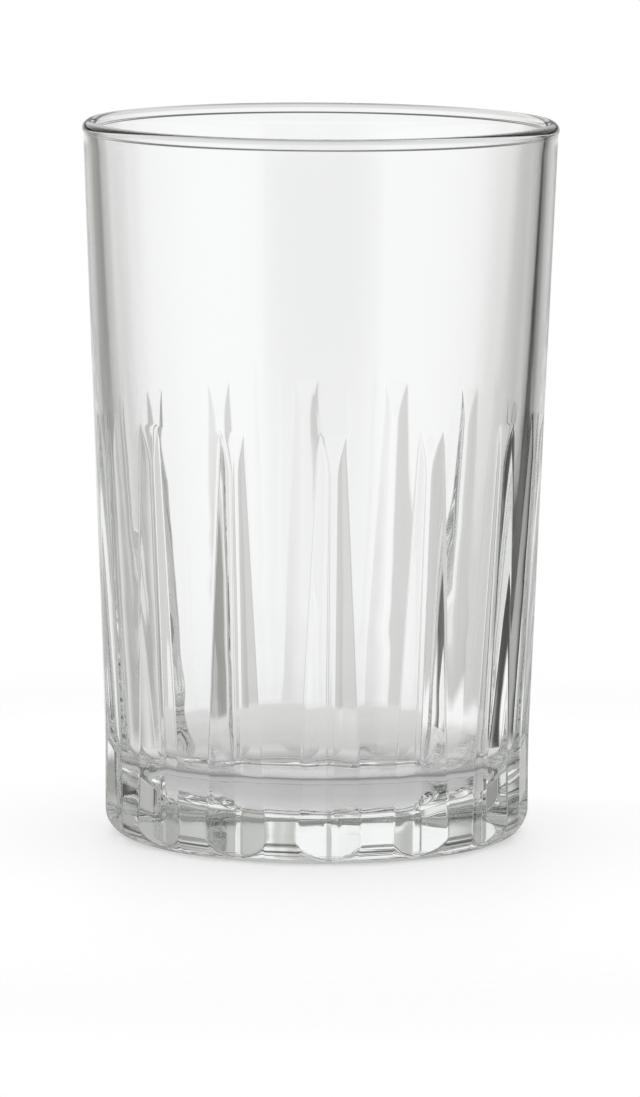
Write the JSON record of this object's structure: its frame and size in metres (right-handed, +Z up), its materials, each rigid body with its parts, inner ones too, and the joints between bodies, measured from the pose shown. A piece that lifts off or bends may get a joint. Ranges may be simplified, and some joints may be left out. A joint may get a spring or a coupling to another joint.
{
  "type": "highball glass",
  "caption": "Clear pressed-glass tumbler with a rolled rim, a plain flaring upper wall, tapering vertical grooves round the lower wall and a thick base that is rounded inside and out.",
  "frame": {"origin": "centre of the foot ring, on the surface that the glass stands on", "axes": "+Z up along the glass's axis, -Y through the middle of one groove"},
  "size_m": [0.076, 0.076, 0.1145],
  "materials": {
    "glass": "clear colourless soda-lime glass, fire-polished, faintly grey-green where it is thick"
  },
  "bodies": {
    "root": {"rim_bead": "glass", "upper_wall": "glass", "fluted_wall": "glass", "heavy_base": "glass"}
  },
  "joints": []
}
